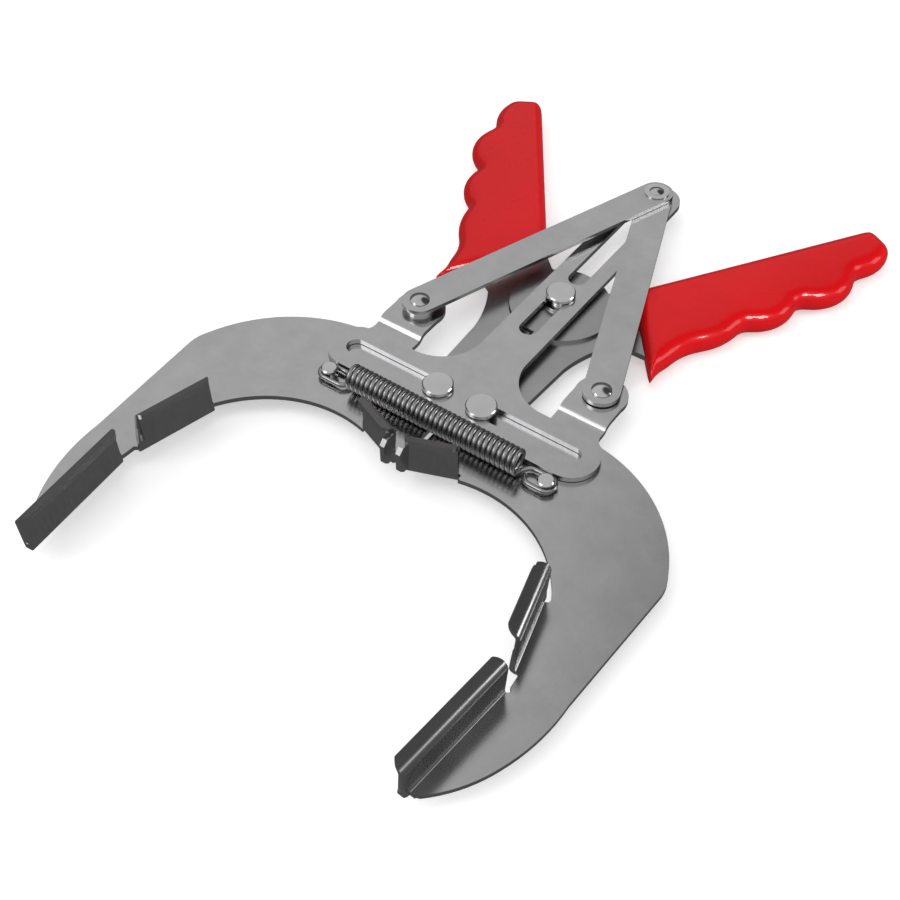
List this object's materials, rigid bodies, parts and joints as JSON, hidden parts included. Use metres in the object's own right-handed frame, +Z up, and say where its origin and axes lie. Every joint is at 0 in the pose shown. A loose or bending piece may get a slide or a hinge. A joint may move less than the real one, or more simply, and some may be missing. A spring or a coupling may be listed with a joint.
{
  "type": "piston ring expander pliers",
  "caption": "Piston ring expander pliers: squeezing the dipped handles swings two broad tabbed jaws apart through a sliding pivot and side links, against a long tension spring.",
  "frame": {"origin": "middle of the plan box of the whole tool, on the surface that the grips rest on", "axes": "+Y from the jaw tips back to the handles, +X towards the right-hand jaw, +Z up through the tool's thickness"},
  "size_m": [0.17, 0.264, 0.0216],
  "materials": {
    "plated_sheet": "bright zinc plate on stamped sheet",
    "rivet_steel": "polished plate on turned heads",
    "spring_steel": "bright drawn wire, plated",
    "red_vinyl": "glossy dipped vinyl"
  },
  "bodies": {
    "frame": {"guide_plate": "plated_sheet", "rear_rivet": "rivet_steel", "rear_collar": "rivet_steel"},
    "pivot": {"pivot_stud": "rivet_steel", "pivot_spacer": "rivet_steel", "pivot_washer": "rivet_steel"},
    "lever_right": {"lever_right": "plated_sheet", "grip_right": "red_vinyl"},
    "link_right": {"link_right": "plated_sheet"},
    "jaw_right": {"jaw_right": "plated_sheet", "guide_stud_right": "rivet_steel", "guide_washer_right": "rivet_steel", "ear_rivet_right": "rivet_steel", "ear_spacer_right": "rivet_steel", "spring_post_right": "rivet_steel"},
    "spring_hook_right": {"spring_hook_right": "spring_steel"},
    "spring_coil_right": {"spring_coil_right": "spring_steel"},
    "lever_left": {"lever_left": "plated_sheet", "grip_left": "red_vinyl"},
    "link_left": {"link_left": "plated_sheet"},
    "jaw_left": {"jaw_left": "plated_sheet", "guide_stud_left": "rivet_steel", "guide_washer_left": "rivet_steel", "ear_rivet_left": "rivet_steel", "ear_spacer_left": "rivet_steel", "spring_post_left": "rivet_steel"},
    "spring_hook_left": {"spring_hook_left": "spring_steel"},
    "spring_coil_left": {"spring_coil_left": "spring_steel"}
  },
  "joints": [
    {"name": "lever_right_squeeze", "type": "hinge", "parent": "pivot", "child": "lever_right", "pos_m": [0, 0.03914, 0.003], "axis": [0, 0, 1], "range_deg": [0, 22.2]},
    {"name": "lever_left_squeeze", "type": "hinge", "parent": "pivot", "child": "lever_left", "pos_m": [0, 0.03914, 0.003], "axis": [0, 0, -1], "range_deg": [0, 24.2]},
    {"name": "pivot_slide", "type": "slide", "parent": "frame", "child": "pivot", "axis": [0, -1, 0], "range_m": [0, 0.0076]},
    {"name": "link_right_swing", "type": "hinge", "parent": "frame", "child": "link_right", "pos_m": [0, 0.10154, 0.011], "axis": [0, 0, 1], "range_deg": [0, 9.4]},
    {"name": "jaw_right_turn", "type": "hinge", "parent": "link_right", "child": "jaw_right", "pos_m": [0.034, 0.00824, 0.009], "axis": [0, 0, 1], "range_deg": [0, 7.3]},
    {"name": "link_left_swing", "type": "hinge", "parent": "frame", "child": "link_left", "pos_m": [0, 0.10154, 0.011], "axis": [0, 0, -1], "range_deg": [0, 9.4]},
    {"name": "jaw_left_turn", "type": "hinge", "parent": "link_left", "child": "jaw_left", "pos_m": [-0.034, 0.00824, 0.009], "axis": [0, 0, -1], "range_deg": [0, 7.3]},
    {"name": "spring_swivel", "type": "hinge", "parent": "jaw_left", "child": "spring_hook_left", "pos_m": [-0.0394, -0.03116, 0.009], "axis": [0, 0, 1], "range_deg": [0, 16.6], "deforming": ["spring_hook_left"]},
    {"name": "spring_lift", "type": "slide", "parent": "spring_hook_left", "child": "spring_coil_left", "axis": [0, 0, 1], "range_m": [0, 0.0039], "deforming": ["spring_coil_left"]},
    {"name": "spring_stretch", "type": "slide", "parent": "spring_coil_left", "child": "spring_coil_right", "axis": [1, 0, 0], "range_m": [0, 0.0508], "deforming": ["spring_coil_right"]},
    {"name": "spring_drop", "type": "slide", "parent": "spring_coil_right", "child": "spring_hook_right", "axis": [0, 0, -1], "range_m": [0, 0.0039], "deforming": ["spring_hook_right"]}
  ],
  "couplings": [
    {"joint": "lever_left_squeeze", "follows": "lever_right_squeeze", "ratio": 1},
    {"joint": "pivot_slide", "follows": "lever_right_squeeze", "m_per_rad": 0.017742},
    {"joint": "link_right_swing", "follows": "lever_right_squeeze", "ratio": 0.38461},
    {"joint": "jaw_right_turn", "follows": "lever_right_squeeze", "ratio": 0.29571},
    {"joint": "link_left_swing", "follows": "lever_right_squeeze", "ratio": 0.38461},
    {"joint": "jaw_left_turn", "follows": "lever_right_squeeze", "ratio": 0.29571},
    {"joint": "spring_swivel", "follows": "lever_right_squeeze", "ratio": 0.68032},
    {"joint": "spring_lift", "follows": "lever_right_squeeze", "m_per_rad": 0.00907},
    {"joint": "spring_stretch", "follows": "lever_right_squeeze", "m_per_rad": 0.121},
    {"joint": "spring_drop", "follows": "lever_right_squeeze", "m_per_rad": 0.00907}
  ]
}
